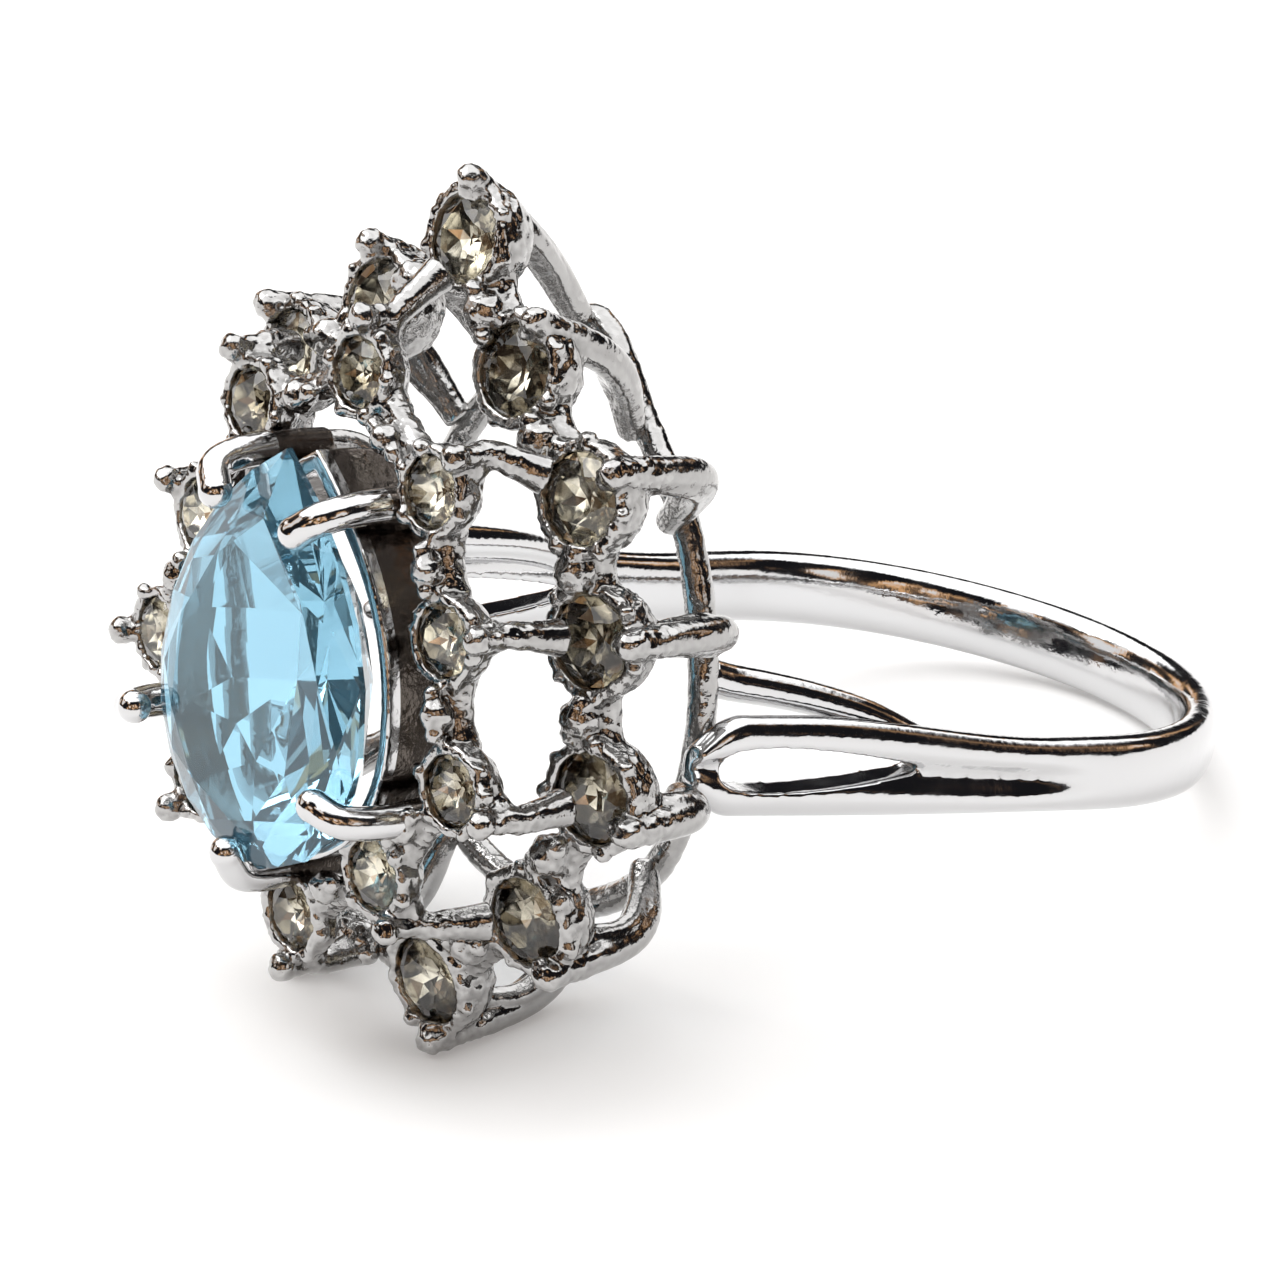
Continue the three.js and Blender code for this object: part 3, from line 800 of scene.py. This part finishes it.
def cut(obj, cutter_points, cutter_faces):
    """Takes a closed cutter out of an object for good."""
    cutter = new_object("cutter", cutter_points, cutter_faces, True)
    edit = bmesh.new()
    edit.from_mesh(cutter.data)
    bmesh.ops.recalc_face_normals(edit, faces=edit.faces[:])
    edit.to_mesh(cutter.data)
    edit.free()
    boolean = obj.modifiers.new("cut", "BOOLEAN")
    boolean.operation = "DIFFERENCE"
    boolean.solver = "EXACT"
    boolean.object = cutter
    evaluated = obj.evaluated_get(bpy.context.evaluated_depsgraph_get())
    mesh = bpy.data.meshes.new_from_object(evaluated)
    obj.modifiers.clear()
    obj.data = mesh
    bpy.data.objects.remove(cutter)


def smooth_metal(_):
    return 0.0


def rail_grain(_):
    return 0.03


def tier_grain(level):
    """Casting grain that grows towards the cups, which are about 'level' mm forward."""
    def height(p):
        forward = -p.y
        return 0.012 + 0.05 * smoothstep(level - 2.2, level - 1.0, forward)
    return height


def build_metal():
    obj = cast("outer_tier_casting", outer_tier(), 0.085, 3, tier_grain(-3.4))
    settle(obj, "outer_tier_setting", "plated_metal", CAST_METAL)
    obj = cast("inner_tier_casting", inner_tier(), 0.085, 3, tier_grain(0.4))
    settle(obj, "inner_tier_setting", "plated_metal", CAST_METAL)
    obj = cast("seat_and_prongs", seat_and_prongs(), 0.08, 3, smooth_metal)
    # Faces behind the shade front take the dark copy of the plating: painted shade.
    for face in obj.data.polygons:
        face.material_index = 1 if -face.center.y < SEAT_SHADE_FRONT else 0
    settle(obj, "centre_seat", "plated_metal", BRIGHT_METAL, PAINTED_SHADE_METAL)
    obj = cast("curved_base_rail", base_rail(), 0.1, 2, rail_grain)
    settle(obj, "base_rail", "plated_metal", CAST_METAL)
    for mirror, side in ((1, "right"), (-1, "left")):
        obj = cast("strut_" + side, strut(mirror), 0.1, 2, smooth_metal)
        settle(obj, "shoulder_strut_" + side, "plated_metal", BRIGHT_METAL)
    band = shank()
    obj = new_object("band", band.points, band.faces, True)
    cut(obj, *teardrop_cutter())
    fused = Mesh()
    fused.add(droop(v.co for v in obj.data.vertices), [p.vertices[:] for p in obj.data.polygons])
    bpy.data.objects.remove(obj)
    obj = cast("split_shank", fused, 0.09, 4, smooth_metal)
    settle(obj, "shank", "plated_metal", BRIGHT_METAL)


def build_stones():
    for i, station in enumerate(mirrored(INNER_STATIONS), 1):
        obj = crystal("small_crystal_%02d" % i, INNER_RADIUS, station, INNER_TILT)
        settle(obj, "inner_crystal_%02d" % i, "foiled_crystal", CRYSTAL_GLASS, CRYSTAL_FOIL)
    for i, station in enumerate(mirrored(OUTER_STATIONS), 1):
        obj = crystal("large_crystal_%02d" % i, OUTER_RADIUS, station, OUTER_TILT)
        settle(obj, "outer_crystal_%02d" % i, "foiled_crystal", CRYSTAL_GLASS, CRYSTAL_FOIL)
    settle(pear_stone(), "centre_stone", "aqua_glass", STONE_GLASS)


# ---- studio ---------------------------------------------------------------------------------

VIEW_AZIMUTH = math.radians(48.63)
VIEW_ELEVATION = math.radians(18.5)
VIEW_ROLL = math.radians(7.23)
VIEW_DISTANCE = 260.0
VIEW_TARGET = Vector((7.76, 5.54, -6.41))
VIEW_LENS = 244.0

# The white ceiling begins higher up in this direction, so the room is darkest there.
DARK_SIDE = (math.sin(VIEW_AZIMUTH), -math.cos(VIEW_AZIMUTH), 0.1)
DARK_SIDE_PULL = -0.28
CEILING_RAGGED = 0.5
CEILING_EDGE = (0.84, 0.92)
FLOOR_GLOW = 0.22


def add_camera():
    data = bpy.data.cameras.new("photo_view")
    data.lens = VIEW_LENS
    data.sensor_width = 36.0
    data.clip_start = 0.01
    data.clip_end = 10
    camera = bpy.data.objects.new("photo_view", data)
    bpy.context.scene.collection.objects.link(camera)
    away = Vector((math.sin(VIEW_AZIMUTH) * math.cos(VIEW_ELEVATION),
                   -math.cos(VIEW_AZIMUTH) * math.cos(VIEW_ELEVATION), math.sin(VIEW_ELEVATION)))
    right = Vector((math.cos(VIEW_AZIMUTH), math.sin(VIEW_AZIMUTH), 0))
    up = away.cross(right)
    level = Matrix((right, up, away)).transposed()
    level = level @ Matrix.Rotation(VIEW_ROLL, 3, "Z")
    turn = HEAD.to_3x3().normalized() @ level
    place = HEAD @ (VIEW_TARGET + away * VIEW_DISTANCE)
    camera.matrix_world = Matrix.Translation(place) @ turn.to_4x4()
    bpy.context.scene.camera = camera


def plain_material(name, colour, roughness, glow):
    material, nodes, _ = node_material(name)
    surface = nodes["Principled BSDF"]
    surface.inputs["Base Color"].default_value = (*colour, 1)
    surface.inputs["Roughness"].default_value = roughness
    surface.inputs["Specular IOR Level"].default_value = 0.1
    surface.inputs["Emission Color"].default_value = (1, 1, 1, 1)
    surface.inputs["Emission Strength"].default_value = glow
    return material


def add_light(name, centre, size, power, colour):
    data = bpy.data.lights.new(name, "AREA")
    data.size = size
    data.energy = power
    data.color = colour
    obj = bpy.data.objects.new(name, data)
    obj.location = centre
    obj.rotation_euler = (-Vector(centre)).to_track_quat("-Z", "Y").to_euler()
    bpy.context.scene.collection.objects.link(obj)


def studio_world():
    """A white ceiling over a dim room, darkest towards the viewer, for the metal and glass."""
    world = bpy.data.worlds.new("studio")
    world.use_nodes = True
    nodes, links = world.node_tree.nodes, world.node_tree.links
    coords = nodes.new("ShaderNodeTexCoord")
    split = nodes.new("ShaderNodeSeparateXYZ")
    links.new(coords.outputs["Generated"], split.inputs["Vector"])
    shapes = nodes.new("ShaderNodeTexNoise")
    shapes.inputs["Scale"].default_value = 2.2
    shapes.inputs["Detail"].default_value = 1.5
    links.new(coords.outputs["Generated"], shapes.inputs["Vector"])
    room = nodes.new("ShaderNodeValToRGB")
    stops = [(0.50, (0.006, 0.006, 0.007, 1)), (0.56, (0.08, 0.05, 0.032, 1)),
             (0.60, (0.50, 0.28, 0.13, 1)), (0.65, (0.55, 0.55, 0.55, 1))]
    ramp = room.color_ramp
    ramp.elements[0].position, ramp.elements[0].color = stops[0]
    ramp.elements[1].position, ramp.elements[1].color = stops[-1]
    for position, colour in stops[1:-1]:
        ramp.elements.new(position).color = colour
    links.new(shapes.outputs["Fac"], room.inputs["Fac"])
    ragged = nodes.new("ShaderNodeMath")
    ragged.operation = "MULTIPLY_ADD"
    ragged.inputs[1].default_value = CEILING_RAGGED
    links.new(shapes.outputs["Fac"], ragged.inputs[0])
    links.new(split.outputs["Z"], ragged.inputs[2])
    behind = nodes.new("ShaderNodeVectorMath")
    behind.operation = "DOT_PRODUCT"
    behind.inputs[1].default_value = DARK_SIDE
    links.new(coords.outputs["Generated"], behind.inputs[0])
    reach = nodes.new("ShaderNodeMath")
    reach.operation = "MULTIPLY_ADD"
    reach.inputs[1].default_value = DARK_SIDE_PULL
    links.new(behind.outputs["Value"], reach.inputs[0])
    links.new(ragged.outputs["Value"], reach.inputs[2])
    edge = nodes.new("ShaderNodeMapRange")
    edge.inputs["From Min"].default_value = CEILING_EDGE[0]
    edge.inputs["From Max"].default_value = CEILING_EDGE[1]
    links.new(reach.outputs["Value"], edge.inputs["Value"])
    mix = nodes.new("ShaderNodeMix")
    mix.data_type = "RGBA"
    links.new(edge.outputs["Result"], mix.inputs[0])
    links.new(room.outputs["Color"], mix.inputs[6])
    mix.inputs[7].default_value = (1.0, 1.0, 1.0, 1)
    links.new(mix.outputs[2], nodes["Background"].inputs["Color"])
    nodes["Background"].inputs["Strength"].default_value = 2.0
    return world


def build_studio():
    corners = [(-2, -2, 0), (2, -2, 0), (2, 2, 0), (-2, 2, 0)]
    floor = new_object("floor", corners, [(0, 1, 2, 3)], False)
    pale = plain_material("pale_floor", (0.82, 0.82, 0.82), roughness=0.6, glow=FLOOR_GLOW)
    floor.data.materials.append(pale)
    bpy.context.scene.world = studio_world()
    add_light("softbox", (-0.35, -0.25, 0.6), 0.4, 1.6, (1, 0.995, 0.985))
    bpy.context.scene.view_settings.view_transform = "Standard"


build_metal()
build_stones()
add_camera()
build_studio()
